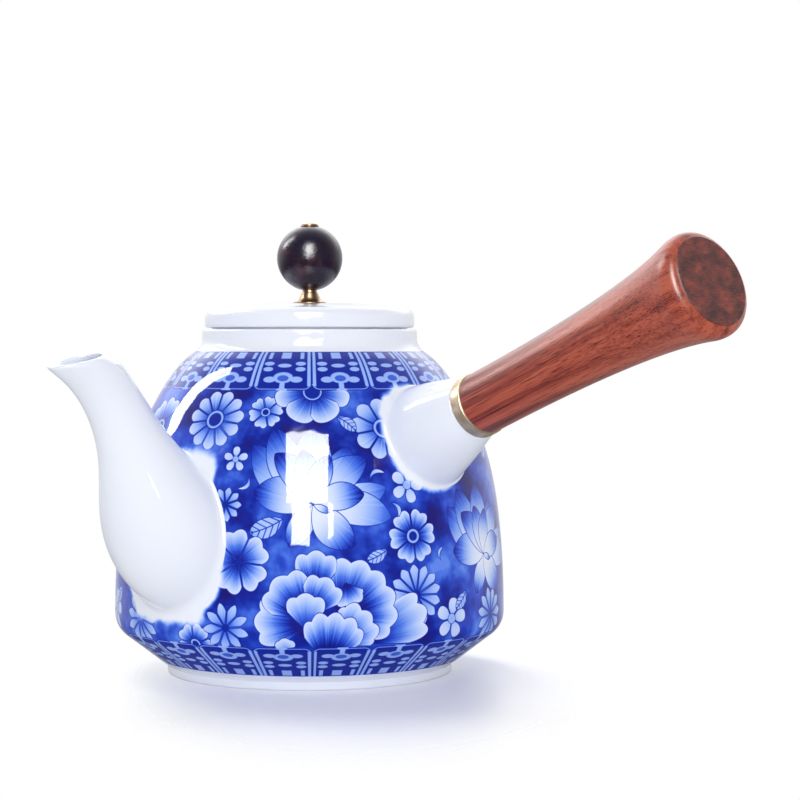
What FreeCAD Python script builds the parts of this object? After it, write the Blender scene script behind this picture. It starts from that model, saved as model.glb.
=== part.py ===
import FreeCAD, Part

import math
import os

from FreeCAD import Placement, Rotation, Vector

# Side-handle porcelain teapot with a turned wooden handle and a bead knob on its lid.
# Millimetres. The foot stands on Z = 0 with the pot's axis on Z, and the spout points along -X.

# Thrown body of the pot
belly_radius = 47.5
belly_height = 14.8
belly_corner = 6.2
foot_radius = 34.8
foot_height = 2.0
foot_ring_width = 4.6
foot_recess = 2.0
foot_edge = 0.6
floor_thickness = 3.6
wall = 2.6
seat_height = 83.5
shoulder_drop = 24.0
shoulder_inset = 6.5
shoulder_lean = 26.7
shoulder_slope = 32.7
side_ease_low = 0.39
side_ease_high = 0.235
shoulder_ease = 0.3
neck_radius = 26.3
neck_fillet = 4.15
neck_straight = 2.1
rim_width = 3.7
rim_edge = 0.6

# Cast spout, and the hole in the pot's wall behind it
spout_hole_radius = 10.5
spout_hole_height = 35.0
spout_root_depth = 7.5
spout_root_height = 33.0
spout_root_rise = 30.0
spout_root_pull = 16.0
spout_reach = 24.8
spout_tip_rise = 34.0
spout_tip_pull = 20.0
spout_root_radius = 16.4
spout_tip_radius = 6.0
spout_waist = 0.42
spout_taper = 0.12
spout_wall = 2.0
spout_sections = 9
lip_drop = 6.8
lip_tilt = 12.0

# Domed strainer stuck inside the wall over that hole
strainer_land = 3.0
strainer_wall = 1.8
strainer_hole_radius = 1.0
strainer_rings = 3
strainer_ring_step = 20.0
strainer_ring_holes = 6

# Handle: porcelain socket, brass ferrule, turned wooden grip and the glue round its tenon
handle_azimuth = 265.0
handle_rise = 21.6
handle_root_drop = 24.5
socket_length = 17.9
socket_mouth_radius = 7.45
socket_root_radius = 13.1
socket_root_depth = 2.0
socket_waist_radius = 8.9
socket_waist_height = 4.0
socket_bury = 5.0
socket_bore_depth = 14.0
ferrule_length = 3.0
ferrule_radius = 7.35
ferrule_wall = 0.9
tenon_radius = 4.8
tenon_length = 13.4
glue_gap = 0.4
grip_length = 71.4
grip_neck_radius = 7.1
grip_waist_radius = 7.0
grip_waist_at = 28.0
grip_flare = 15.0
grip_flare_length = 13.5
grip_swell_radius = 11.4
grip_swell_back = 4.9
grip_end_radius = 10.0
grip_end_lean = 22.0
grip_round = 1.9

# Lid
lid_step = 0.7
lid_clearance = 0.5
lid_edge_height = 5.2
lid_dome = 1.2
lid_top_edge = 1.7
lid_lower_edge = 0.5
lid_skirt_depth = 7.0
lid_skirt_wall = 2.5
lid_plate = 4.1
vent_radius = 1.0
vent_offset = 14.0
vent_azimuth = 85.0

# Knob: one screw holds the bead, its brass foot and cap, and the parts under the lid
screw_radius = 1.5
screw_clearance = 0.1
lid_hole_clearance = 0.3
thread_clearance = 0.03
screw_head_radius = 1.95
screw_head_edge = 0.2
screw_head_dome = 0.4
screw_tip = 0.9
knob_base_radius = 4.0
knob_base_foot_radius = 2.8
knob_base_neck_radius = 1.75
knob_base_height = 3.2
knob_base_rim = 0.25
bead_radius = 8.0
bead_flat_margin = 0.15
knob_cap_radius = 2.2
knob_cap_thickness = 0.35
seal_radius = 4.2
seal_thickness = 1.0
washer_radius = 3.5
washer_thickness = 0.5
nut_across_flats = 5.5
nut_height = 2.4

# How far a cutting shape runs past what it cuts
overrun = 1.0

AXIS = Vector(0, 0, 1)
ORIGIN = Vector(0, 0, 0)

# Levels and radii that follow from the sizes above
shoulder_height = seat_height - shoulder_drop
shoulder_radius = belly_radius - shoulder_inset
mouth_radius = neck_radius - rim_width
floor_height = foot_recess + floor_thickness
lid_radius = neck_radius - lid_step
skirt_radius = mouth_radius - lid_clearance
lid_top = seat_height + lid_edge_height + lid_dome
plate_under = lid_top - lid_plate
screw_hole_radius = screw_radius + screw_clearance
bead_low_flat = knob_base_neck_radius + bead_flat_margin
bead_bottom = lid_top + knob_base_height
bead_centre = bead_bottom + math.sqrt(bead_radius ** 2 - bead_low_flat ** 2)
bead_top = bead_centre + math.sqrt(bead_radius ** 2 - knob_cap_radius ** 2)
cap_top = bead_top + knob_cap_thickness
washer_top = plate_under - seal_thickness
nut_top = washer_top - washer_thickness
nut_bottom = nut_top - nut_height


def polar(centre, radius, degrees):
    """Point at a distance and angle from a centre, all in one plane."""
    angle = math.radians(degrees)
    return (centre[0] + radius * math.cos(angle), centre[1] + radius * math.sin(angle))


def along(point, degrees, distance):
    """Point reached by going a distance from another in a direction."""
    return polar(point, distance, degrees)


def profile(start, *steps):
    """Flat face of (radius, height) points that each step carries on from the last.

    A step of one point is a straight line, of two an arc through the first of them,
    and of three a curve with two control points.
    """
    edges = []
    here = start
    for step in steps + ((start,),):
        points = [Vector(radius, 0, height) for radius, height in (here,) + step]
        if len(points) == 2:
            curve = Part.LineSegment(*points)
        elif len(points) == 3:
            curve = Part.Arc(*points)
        else:
            curve = Part.BezierCurve()
            curve.setPoles(points)
        edges.append(curve.toShape())
        here = step[-1]
    return Part.Face(Part.Wire(edges))


def crown(start, crest):
    """Step for an arc that rises from a point to a crest where it runs level."""
    run = start[0] - crest[0]
    rise = crest[1] - start[1]
    radius = (run ** 2 + rise ** 2) / (2 * rise)
    half_turn = math.degrees(math.asin(run / radius)) / 2
    return (polar((crest[0], crest[1] - radius), radius, 90 - half_turn), crest)


def turned(start, *steps):
    """Solid turned about Z from a closed outline."""
    return profile(start, *steps).revolve(ORIGIN, AXIS, 360)


def rod(radius, low, high):
    """Upright cylinder about Z between two heights."""
    return Part.makeCylinder(radius, high - low, Vector(0, 0, low))


def ring(outer, inner, low, high):
    """Upright washer about Z between two heights."""
    return rod(outer, low, high).cut(rod(inner, low - overrun, high + overrun))


def reach(solid, height):
    """How far a solid of revolution reaches from the axis at a height."""
    ray = Part.makeLine(Vector(0, 0, height), Vector(2 * belly_radius, 0, height))
    return solid.common(ray).BoundBox.XMax


def side(inset):
    """Wall of the pot from the bevel up to the neck, at a depth inside the glazed surface.

    Returns the slope of the bevel, the bevel's upper end and the steps from there to the neck fillet.
    """
    corner = (belly_radius - belly_corner, belly_height)
    run = corner[0] - foot_radius
    rise = belly_height - foot_height
    bevel = math.degrees(math.atan2(rise, run) - math.asin(belly_corner / math.hypot(run, rise)))
    corner_radius = belly_corner - inset
    bevel_end = polar(corner, corner_radius, bevel - 90)
    corner_middle = polar(corner, corner_radius, bevel / 2 - 45)
    belly = (belly_radius - inset, belly_height)

    shoulder_way = 90 + shoulder_lean
    shoulder = along((shoulder_radius, shoulder_height), shoulder_way + 90, inset)
    neck_way = 180 - shoulder_slope
    neck_centre = (neck_radius + neck_fillet, seat_height - neck_straight)
    neck = along(neck_centre, neck_way + 90, neck_fillet + inset)
    side_length = math.dist(belly, shoulder)
    shoulder_length = math.dist(shoulder, neck)
    steps = (
        (corner_middle, belly),
        (along(belly, 90, side_ease_low * side_length),
         along(shoulder, shoulder_way, -side_ease_high * side_length), shoulder),
        (along(shoulder, shoulder_way, shoulder_ease * shoulder_length),
         along(neck, neck_way, -shoulder_ease * shoulder_length), neck),
    )
    return bevel, bevel_end, steps


def filled_pot():
    """The pot as a solid plug: foot ring, bevel, belly, shoulder and neck, with nothing hollowed out."""
    bevel, bevel_end, wall_steps = side(0)
    foot_inner = foot_radius - foot_ring_width
    neck_centre = (neck_radius + neck_fillet, seat_height - neck_straight)
    neck_middle = polar(neck_centre, neck_fillet, 225 - shoulder_slope / 2)
    return turned(
        (0, foot_recess),
        ((foot_inner, foot_recess),),
        ((foot_inner, foot_edge),),
        (polar((foot_inner + foot_edge, foot_edge), foot_edge, 225), (foot_inner + foot_edge, 0)),
        ((foot_radius - foot_edge, 0),),
        (polar((foot_radius - foot_edge, foot_edge), foot_edge, 315), (foot_radius, foot_edge)),
        ((foot_radius, foot_height),),
        (bevel_end,),
        *wall_steps,
        (neck_middle, (neck_radius, seat_height - neck_straight)),
        ((neck_radius, seat_height - rim_edge),),
        (polar((neck_radius - rim_edge, seat_height - rim_edge), rim_edge, 45),
         (neck_radius - rim_edge, seat_height)),
        ((0, seat_height),),
    )


def tea_space():
    """The hollow of the pot, from its floor out through the mouth."""
    bevel, bevel_end, wall_steps = side(wall)
    floor_run = (bevel_end[1] - floor_height) / math.tan(math.radians(bevel))
    floor_edge = (bevel_end[0] - floor_run, floor_height)
    shoulder_end = wall_steps[-1][-1]
    mouth_rise = (shoulder_end[0] - mouth_radius) * math.tan(math.radians(shoulder_slope))
    return turned(
        (0, floor_height),
        (floor_edge,),
        (bevel_end,),
        *wall_steps,
        ((mouth_radius, shoulder_end[1] + mouth_rise),),
        ((mouth_radius, seat_height + overrun),),
        ((0, seat_height + overrun),),
    )


def spout_circle(line, share, thinner, beyond=0.0):
    """Circle across the spout's centre line; its width falls along an S curve from root to tip."""
    way = line.tangent(share)[0]
    centre = line.value(share) + way * beyond
    swell = 1 / (1 + math.exp((share - spout_waist) / spout_taper))
    radius = spout_tip_radius + (spout_root_radius - spout_tip_radius) * swell - thinner
    across = Vector(0, 1, 0)
    turn = Rotation(across, way.cross(across), way, "ZXY")
    circle = Part.Wire(Part.makeCircle(radius))
    circle.Placement = Placement(centre, turn)
    return circle


def spout_form(line, thinner):
    """The spout as a plug, running past the lip and into the pot."""
    shares = [step / (spout_sections - 1) for step in range(spout_sections)]
    circles = [spout_circle(line, share, thinner) for share in shares]
    past_lip = spout_circle(line, 1.0, thinner, beyond=spout_tip_radius)
    return Part.makeLoft(circles + [past_lip], True)


def make_spout(pot):
    """Curved spout, hollow from end to end, cut to the pot's wall and level at its lip."""
    root = (-(belly_radius - spout_root_depth), spout_root_height)
    tip = (-(belly_radius + spout_reach), seat_height - lip_drop)
    poles = (root, along(root, 180 - spout_root_rise, spout_root_pull),
             along(tip, 180 - spout_tip_rise, -spout_tip_pull), tip)
    line = Part.BezierCurve()
    line.setPoles([Vector(x, 0, z) for x, z in poles])
    lip_up = Vector(-math.sin(math.radians(lip_tilt)), 0, math.cos(math.radians(lip_tilt)))
    room = 4 * spout_root_radius
    above_lip = Part.makeBox(room, room, room, Vector(-room / 2, -room / 2, 0))
    above_lip.Placement = Placement(Vector(tip[0], 0, tip[1]), Rotation(AXIS, lip_up))
    return spout_form(line, 0).cut(spout_form(line, spout_wall)).cut(pot).cut(above_lip)


def make_strainer(hollow):
    """Dome on the inside of the wall over the spout's hole, pierced with rings of holes."""
    centre = Vector(-reach(hollow, spout_hole_height), 0, spout_hole_height)
    outer = spout_hole_radius + strainer_land
    inner = outer - strainer_wall
    dome = Part.makeSphere(outer, centre).cut(Part.makeSphere(inner, centre)).common(hollow)
    for number in range(strainer_rings + 1):
        count = max(1, strainer_ring_holes * number)
        tilt = math.radians(number * strainer_ring_step)
        for step in range(count):
            turn = 2 * math.pi * step / count
            way = Vector(math.cos(tilt), math.sin(tilt) * math.cos(turn), math.sin(tilt) * math.sin(turn))
            start = centre + way * (inner - overrun)
            drill = Part.makeCylinder(strainer_hole_radius, strainer_wall + 2 * overrun, start, way)
            dome = dome.cut(drill)
    return dome


def make_handle_pieces(pot):
    """Socket, ferrule, grip and glue, turned about the handle's axis and set on the pot's shoulder.

    Heights in these outlines run out along the axis from where it leaves the pot.
    """
    mouth = (socket_mouth_radius, socket_length)
    waist = (socket_waist_radius, socket_waist_height)
    mouth_ease = ((mouth[0] + waist[0]) / 2, (mouth[1] + waist[1]) / 2)
    flare = (socket_root_radius, -socket_root_depth)
    flare_way = math.degrees(math.atan2(flare[1] - waist[1], flare[0] - waist[0]))
    flare_end = along(flare, flare_way, socket_bury)
    bore_radius = tenon_radius + glue_gap
    bore_end = socket_length - socket_bore_depth
    socket = turned(
        (0, bore_end),
        ((bore_radius, bore_end),),
        ((bore_radius, socket_length),),
        (mouth,),
        (mouth_ease, waist, flare),
        (flare_end,),
        ((0, flare_end[1]),),
    )

    grip_start = socket_length + ferrule_length
    grip_end = grip_start + grip_length
    swell = (grip_swell_radius, grip_end - grip_swell_back)
    swell_way = 90 - grip_flare
    end_edge = (grip_end_radius, grip_end)
    spigot_radius = ferrule_radius - ferrule_wall
    grip = turned(
        (0, socket_length - tenon_length),
        ((tenon_radius, socket_length - tenon_length),),
        ((tenon_radius, socket_length),),
        ((spigot_radius, socket_length),),
        ((spigot_radius, grip_start),),
        ((grip_neck_radius, grip_start),),
        ((grip_waist_radius, grip_start + grip_waist_at), along(swell, swell_way, -grip_flare_length), swell),
        (along(swell, swell_way, grip_round), along(end_edge, -grip_end_lean, grip_round), end_edge),
        ((0, grip_end),),
    )
    ferrule = ring(ferrule_radius, spigot_radius, socket_length, grip_start)
    glue = rod(bore_radius, bore_end, socket_length).cut(
        rod(tenon_radius, socket_length - tenon_length, socket_length + overrun))

    root_height = seat_height - handle_root_drop
    root_radius = reach(pot, root_height)
    level = math.radians(handle_azimuth)
    rise = math.radians(handle_rise)
    out = Vector(math.cos(level), math.sin(level), 0)
    way = out * math.cos(rise) + AXIS * math.sin(rise)
    place = Placement(out * root_radius + AXIS * root_height, Rotation(AXIS, way))
    pieces = {"handle_socket": socket, "handle_ferrule": ferrule, "handle": grip, "handle_glue": glue}
    for piece in pieces.values():
        piece.Placement = place
    pieces["handle_socket"] = pieces["handle_socket"].cut(pot)
    return pieces


def make_lid():
    """Flat-domed lid with a skirt that hangs in the mouth, a hole for the screw and a vent."""
    hole = screw_radius + lid_hole_clearance
    edge_top = seat_height + lid_edge_height
    top_edge = (lid_radius - lid_top_edge, edge_top - lid_top_edge)
    low_edge = (lid_radius - lid_lower_edge, seat_height + lid_lower_edge)
    skirt_inner = skirt_radius - lid_skirt_wall
    skirt_low = seat_height - lid_skirt_depth
    dome_edge = (top_edge[0], edge_top)
    lid = turned(
        (hole, plate_under),
        ((skirt_inner, plate_under),),
        ((skirt_inner, skirt_low),),
        ((skirt_radius, skirt_low),),
        ((skirt_radius, seat_height),),
        ((low_edge[0], seat_height),),
        (polar(low_edge, lid_lower_edge, 315), (lid_radius, low_edge[1])),
        ((lid_radius, top_edge[1]),),
        (polar(top_edge, lid_top_edge, 45), dome_edge),
        crown(dome_edge, (knob_base_radius, lid_top)),
        ((hole, lid_top),),
    )
    vent_foot = Vector(*polar((0, 0), vent_offset, vent_azimuth), plate_under - overrun)
    return lid.cut(Part.makeCylinder(vent_radius, lid_plate + 2 * overrun, vent_foot))


def make_knob_pieces():
    """Bead knob with its brass foot and cap, and the screw, seal, washer and nut that hold it to the lid."""
    base = turned(
        (screw_hole_radius, lid_top),
        ((knob_base_radius, lid_top),),
        ((knob_base_radius, lid_top + knob_base_rim),),
        ((knob_base_foot_radius, lid_top + knob_base_rim),),
        ((knob_base_neck_radius, bead_bottom),),
        ((screw_hole_radius, bead_bottom),),
    )
    bead = Part.makeSphere(bead_radius, Vector(0, 0, bead_centre))
    bead = bead.common(rod(bead_radius + overrun, bead_bottom, bead_top))
    bead = bead.cut(rod(screw_hole_radius, bead_bottom - overrun, bead_top + overrun))
    cap = ring(knob_cap_radius, screw_hole_radius, bead_top, cap_top)

    tip = nut_bottom - screw_tip
    head_edge = (screw_head_radius, cap_top + screw_head_edge)
    screw = turned(
        (0, tip),
        ((screw_radius, tip),),
        ((screw_radius, cap_top),),
        ((screw_head_radius, cap_top),),
        (head_edge,),
        crown(head_edge, (0, head_edge[1] + screw_head_dome)),
    )

    corner_radius = nut_across_flats / math.sqrt(3)
    corners = [Vector(*polar((0, 0), corner_radius, 60 * number), nut_bottom) for number in range(7)]
    nut = Part.Face(Part.makePolygon(corners)).extrude(AXIS * nut_height)
    nut = nut.cut(rod(screw_radius + thread_clearance, nut_bottom - overrun, nut_top + overrun))
    return {
        "knob_base": base,
        "knob_bead": bead,
        "knob_cap": cap,
        "knob_screw": screw,
        "lid_seal": ring(seal_radius, screw_hole_radius, washer_top, plate_under),
        "lid_washer": ring(washer_radius, screw_hole_radius, nut_top, washer_top),
        "lid_nut": nut,
    }


pot_plug = filled_pot()
pot_hollow = tea_space()
hole_centre = Vector(0, 0, spout_hole_height)
spout_hole = Part.makeCylinder(spout_hole_radius, 2 * belly_radius, hole_centre, Vector(-1, 0, 0))

pieces = {
    "pot_body": pot_plug.cut(pot_hollow).cut(spout_hole),
    "spout": make_spout(pot_plug),
    "spout_strainer": make_strainer(pot_hollow),
    "lid": make_lid(),
}
pieces.update(make_handle_pieces(pot_plug))
pieces.update(make_knob_pieces())

os.makedirs("parts", exist_ok=True)
for name, shape in pieces.items():
    solid = shape.removeSplitter() if len(shape.Solids) == 1 else shape
    solid.exportStep(os.path.join("parts", name + ".step"))
    print(name, "solids", len(solid.Solids), "valid", solid.isValid(), "volume", round(solid.Volume, 2))
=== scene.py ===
import math
from functools import partialmethod

import bpy
import numpy as np
from mathutils import Euler, Matrix


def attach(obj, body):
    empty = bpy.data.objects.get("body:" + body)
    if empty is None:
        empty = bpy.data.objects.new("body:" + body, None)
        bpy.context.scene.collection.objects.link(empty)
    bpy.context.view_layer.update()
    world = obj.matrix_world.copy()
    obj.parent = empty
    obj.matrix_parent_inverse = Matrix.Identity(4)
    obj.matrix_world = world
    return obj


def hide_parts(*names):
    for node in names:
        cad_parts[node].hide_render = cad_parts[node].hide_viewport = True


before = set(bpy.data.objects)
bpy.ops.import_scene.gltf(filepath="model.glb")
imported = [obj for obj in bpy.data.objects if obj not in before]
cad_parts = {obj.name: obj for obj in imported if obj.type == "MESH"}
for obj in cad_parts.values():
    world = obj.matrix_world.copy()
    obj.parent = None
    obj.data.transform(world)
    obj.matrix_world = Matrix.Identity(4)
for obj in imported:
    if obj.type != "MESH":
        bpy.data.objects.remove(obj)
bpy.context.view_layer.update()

# Pot body: one thrown and trimmed porcelain pot with a foot ring, bevelled belly, shoulder and neck.
# Flowers and borders are painted in cobalt under a clear glaze. Round the spout and the handle
# socket, which are luted on, the porcelain is left bare white.
MM = 0.001
belly_radius = 47.5
belly_height = 14.8
belly_corner = 6.2
foot_radius = 34.8
foot_height = 2.0
foot_inner = 30.2
foot_recess = 2.0
foot_edge = 0.6
floor_height = 5.6
pot_wall = 2.6
seat_height = 83.5
shoulder = np.array([41.0, 59.5])
shoulder_lean = 26.7
shoulder_slope = 32.7
side_ease = (0.39, 0.235)
shoulder_ease = 0.3
neck_radius = 26.3
neck_fillet = 4.15
neck_straight = 2.1
neck_centre = np.array([neck_radius + neck_fillet, seat_height - neck_straight])
mouth_radius = 22.6
rim_edge = 0.6
spout_hole_radius = 10.5
spout_hole_height = 35.0
spout_hole_run = 10.0
outer_steps = (9, 44, 22)
inner_steps = (6, 16, 10)
pot_columns = 312
drill_columns = 64
crease_angle = 38.0
view_azimuth = 225.0


def ray(degrees):
    """Unit step in a plane at an angle: (cosine, sine)."""
    return np.array([math.cos(math.radians(degrees)), math.sin(math.radians(degrees))])


def line(start, end, count=1):
    """Evenly spaced points from start to end, without the start."""
    share = np.linspace(0, 1, count + 1)[1:, None]
    return np.array(start) * (1 - share) + np.array(end) * share


def arc(centre, radius, start, end, count):
    """Centre plus radius times (cosine, sine) of angles from start to end, without the start."""
    angle = np.radians(np.linspace(start, end, count + 1)[1:])[:, None]
    return np.array(centre) + radius * np.hstack([np.cos(angle), np.sin(angle)])


def bend(corner, edge, start, end, count):
    """Arc that rounds off a corner between a level and an upright side, without the start."""
    return arc(corner - edge * np.sign(ray((start + end) / 2)), edge, start, end, count)


def cubic(poles, share):
    """Cubic curve: the four poles weighted by the Bernstein terms of the share along it."""
    a, b, c, d = (np.array(pole) for pole in poles)
    return ((1 - share) ** 3 * a + 3 * (1 - share) ** 2 * share * b
            + 3 * (1 - share) * share ** 2 * c + share ** 3 * d)


def bezier(poles, count):
    """Evenly stepped points of a cubic curve, without the start."""
    return cubic(poles, np.linspace(0, 1, count + 1)[1:, None])


def pot_side(inset, steps):
    """Wall from the top of the bevel to the neck, set in from the glaze.

    A corner arc, a side curve and a shoulder curve follow one another, each in its number of steps.
    """
    corner = np.array([belly_radius - belly_corner, belly_height])
    run = corner - (foot_radius, foot_height)
    bevel = math.degrees(math.atan2(run[1], run[0]) - math.asin(belly_corner / math.hypot(*run)))
    bevel_end = corner + (belly_corner - inset) * ray(bevel - 90)
    belly = np.array([belly_radius - inset, belly_height])
    lean = 90 + shoulder_lean
    top = shoulder + inset * ray(lean + 90)
    neck_way = 180 - shoulder_slope
    neck = neck_centre + (neck_fillet + inset) * ray(neck_way + 90)
    side_length = math.dist(belly, top)
    shoulder_length = math.dist(top, neck)
    low_pole = belly + side_ease[0] * side_length * ray(90)
    high_pole = top - side_ease[1] * side_length * ray(lean)
    out_pole = top + shoulder_ease * shoulder_length * ray(lean)
    in_pole = neck - shoulder_ease * shoulder_length * ray(neck_way)
    return bevel, bevel_end, np.vstack([
        arc(corner, belly_corner - inset, bevel - 90, 0, steps[0]),
        bezier((belly, low_pole, high_pole, top), steps[1]),
        bezier((top, out_pole, in_pole, neck), steps[2])])


def unit(vectors):
    """Vectors made one long."""
    return vectors / np.linalg.norm(vectors, axis=-1, keepdims=True)


def add(name, data):
    """New object in the scene, at the origin."""
    made = bpy.data.objects.new(name, data)
    bpy.context.scene.collection.objects.link(made)
    return made


def skin(name, grid, poles=(None, None), loop=False):
    """Closed mesh over a grid of points in millimetres (rows, columns, 3) whose columns go round.

    A pole is one more point that closes the first or the last row; loop joins the last row to the first.
    """
    rows, columns = grid.shape[:2]
    here = np.arange(columns)
    after = np.roll(here, -1)
    low = np.arange(rows if loop else rows - 1)[:, None] * columns
    high = (low + columns) % (rows * columns)
    quads = np.stack([low + here, low + after, high + after, high + here], -1).reshape(-1, 4)
    points = [grid.reshape(-1, 3)]
    faces = quads.tolist()
    last = (rows - 1) * columns
    for pole, edge in zip(poles, ((after, here), (here + last, after + last))):
        if pole is not None:
            tip = np.full(columns, rows * columns + len(points) - 1)
            faces += np.stack([tip, *edge], -1).tolist()
            points.append(np.array(pole)[None])
    mesh = bpy.data.meshes.new(name)
    mesh.from_pydata((np.vstack(points) * MM).tolist(), [], faces)
    mesh.shade_smooth()
    mesh.set_sharp_from_angle(angle=math.radians(crease_angle))
    return add(name, mesh)


def turn(outline, columns, origin=(0, 0, 0), way=(0, 0, 1)):
    """Shape turned on a lathe: each (radius, height) point goes round the axis from origin along way."""
    way = np.array(way, float)
    side = unit(np.cross(way, (1, 0, 0) if abs(way[0]) < 0.9 else (0, 1, 0)))
    up = np.cross(way, side)
    angle = np.linspace(0, 2 * math.pi, columns, endpoint=False)
    spokes = np.outer(np.cos(angle), side) + np.outer(np.sin(angle), up)
    radius, height = np.array(outline, float).T[:, :, None, None]
    return np.array(origin) + height * way + radius * spokes


def drill(piece, start, way, radius, length):
    """Takes a round hole out of a piece: a plain cylinder from start along way is cut away."""
    way = np.array(way, float)
    wall = turn([[radius, 0], [radius, length]], drill_columns, start, way)
    bit = skin("bit", wall, (start, np.array(start) + length * way))
    cut = piece.modifiers.new("hole", "BOOLEAN")
    cut.operation = "DIFFERENCE"
    cut.solver = "EXACT"
    cut.object = bit
    bpy.context.view_layer.update()
    drilled = bpy.data.meshes.new_from_object(piece.evaluated_get(bpy.context.evaluated_depsgraph_get()))
    piece.modifiers.clear()
    plain = piece.data
    drilled.name = piece.name
    piece.data = drilled
    bpy.data.meshes.remove(plain)
    bpy.data.objects.remove(bit)


bevel, bevel_end, pot_outer = pot_side(0, outer_steps)
_, inner_bevel_end, pot_inner = pot_side(pot_wall, inner_steps)
floor_run = (inner_bevel_end[1] - floor_height) / math.tan(math.radians(bevel))
mouth_low = pot_inner[-1][1] + (pot_inner[-1][0] - mouth_radius) * math.tan(math.radians(shoulder_slope))
foot_rows = np.vstack([
    [[foot_inner, foot_recess]],
    line((foot_inner, foot_recess), (foot_inner, foot_edge)),
    bend((foot_inner, 0), foot_edge, 180, 270, 4),
    line((foot_inner + foot_edge, 0), (foot_radius - foot_edge, 0)),
    bend((foot_radius, 0), foot_edge, 270, 360, 4)])
outside_rows = np.vstack([
    line((foot_radius, foot_edge), (foot_radius, foot_height), 2),
    line((foot_radius, foot_height), bevel_end, 13),
    pot_outer,
    arc(neck_centre, neck_fillet, 270 - shoulder_slope, 180, 9),
    line((neck_radius, neck_centre[1]), (neck_radius, seat_height - rim_edge), 2)])
inside_rows = np.vstack([
    bend((neck_radius, seat_height), rim_edge, 0, 90, 5),
    line((neck_radius - rim_edge, seat_height), (mouth_radius + rim_edge, seat_height)),
    bend((mouth_radius, seat_height), rim_edge, 90, 180, 5),
    line((mouth_radius, seat_height - rim_edge), (mouth_radius, mouth_low)),
    pot_inner[::-1],
    [inner_bevel_end, [inner_bevel_end[0] - floor_run, floor_height]]])
pot_outline = np.vstack([foot_rows, outside_rows, inside_rows])
pot_body = skin("porcelain_pot", turn(pot_outline, pot_columns), ((0, 0, foot_recess), (0, 0, floor_height)))


def travel(rows):
    """Length of an outline up to each of its points."""
    return np.concatenate([[0], np.cumsum(np.linalg.norm(np.diff(rows, axis=0), axis=1))])


def face_rows(rows):
    """For each band of faces between two rows, the row of each of a face's four corners."""
    row = np.arange(len(rows) - 1)
    return np.stack([row, row, row + 1, row + 1], -1)[:, None]


# Where the corners of the painted wall's faces lie: degrees round the pot, millimetres up the wall, radius.
first_row = len(foot_rows) - 1
last_row = first_row + len(outside_rows)
wall_faces = slice(first_row * pot_columns, last_row * pot_columns)
wall_rows = pot_outline[first_row:last_row + 1]
wall_travel = travel(wall_rows)
wall_corners = face_rows(wall_rows)
column = np.arange(pot_columns)
corner_turn = np.stack([column, column + 1, column + 1, column], -1)[None] / pot_columns
azimuths, travels, radii = (values.reshape(-1, 4) for values in np.broadcast_arrays(
    90 + 360 * corner_turn, wall_travel[wall_corners], wall_rows[wall_corners, 0]))


def on_wall(name, domain, values):
    """Stores numbers on the painted wall's faces or face corners; the rest of the pot keeps zero."""
    width = values.shape[-1]
    per_face = 4 if domain == "CORNER" else 1
    layer = pot_body.data.attributes.new(name, "FLOAT_VECTOR" if width == 3 else "FLOAT", domain)
    full = np.zeros((len(layer.data), width), np.float32)
    full[wall_faces.start * per_face:wall_faces.stop * per_face] = values.reshape(-1, width)
    layer.data.foreach_set("vector" if width == 3 else "value", full.ravel())


strokes = []
petal_power = 0.8
fan_dip = 0.3


def up_wall(height):
    """Millimetres up the painted wall at a height."""
    return float(np.interp(height, wall_rows[:, 1], wall_travel))


def beside(place, right, up):
    """A place on the wall, degrees round and millimetres up it, moved by millimetres right and up."""
    radius = np.interp(place[1] + up, wall_travel, wall_rows[:, 0])
    return place[0] + math.degrees(right / radius), place[1] + up


def stroke(place, angle, length, count=1, width=0.0, tip=0.5, scallop=0.0, lobes=1.0, bend=0.0,
           wash=(0.0, 0.6, 0.05), heart=(0.0, 1.2, 0.0)):
    """One painted form, laid over those before it.

    With a width it is a petal that widens and closes again, and with none it is a fan. A count above 1 sets
    that many round the place; a negative one keeps a single fan of that share of a circle. The wash is the
    cobalt at the base, at the tip and all over. The heart is a disc's radius, the share of it where a pale
    ring starts, and the strength of veins.
    """
    crest = petal_power / (petal_power + tip)
    fullest = crest ** petal_power * (1 - crest) ** tip
    strokes.append((place, angle, length, (count, width / fullest, tip), (scallop, lobes, bend), wash, heart))


def fan(place, angle, length, half_angle, base_wash, scallop=0.12, lobes=4):
    """One broad petal with a pale rim of so many lobes, dark at its base."""
    stroke(place, angle, length, -180 / half_angle, scallop=scallop, lobes=lobes * 90 / half_angle,
           wash=(base_wash, 0.0, 0.1))


def daisy(place, size, count, angle=0.0, tip_wash=0.1, width=0.27):
    """Ring of petals round a dark disc with a pale ring."""
    stroke(place, angle, size, count, width, 0.42, wash=(0.62, tip_wash, 0.05), heart=(0.34, 0.66, 0.0))


def star(place, size, count, angle=0.0, width=0.22):
    """Ring of narrow pale petals round a small plain heart."""
    stroke(place, angle, size, count, width, 0.6, wash=(0.4, 0.15, 0.1), heart=(0.15, 1.2, 0.0))


def blossom(place, size, count, angle=0.0, depth=0.75, heart=(0.27, 0.6, 0.0)):
    """Open flower of broad notched petals, streaked with cobalt from its heart."""
    stroke(place, angle, size, count, scallop=0.12, lobes=-count * 0.8, wash=(depth, 0.0, 0.1), heart=heart)


def plum(place, size, angle=90.0):
    """Small flower of five round pale petals and a pale heart."""
    stroke(place, angle, size, 5, 0.36, 0.36, wash=(0.15, 0.05, 0.1), heart=(0.27, 0.05, 0.0))


def leaf(place, size, angle):
    """Pale leaf with a dark midrib and side veins."""
    stroke(place, angle, size, 1, 0.29, 0.7, bend=0.05, wash=(0.1, 0.2, 0.16), heart=(0.0, 1.2, 1.0))


def curl(place, size, angle, bend=0.3):
    """Pale bent comma."""
    stroke(place, angle, size, 1, 0.16, 0.45, bend=bend, wash=(0.2, 0.0, 0.14))


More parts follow.
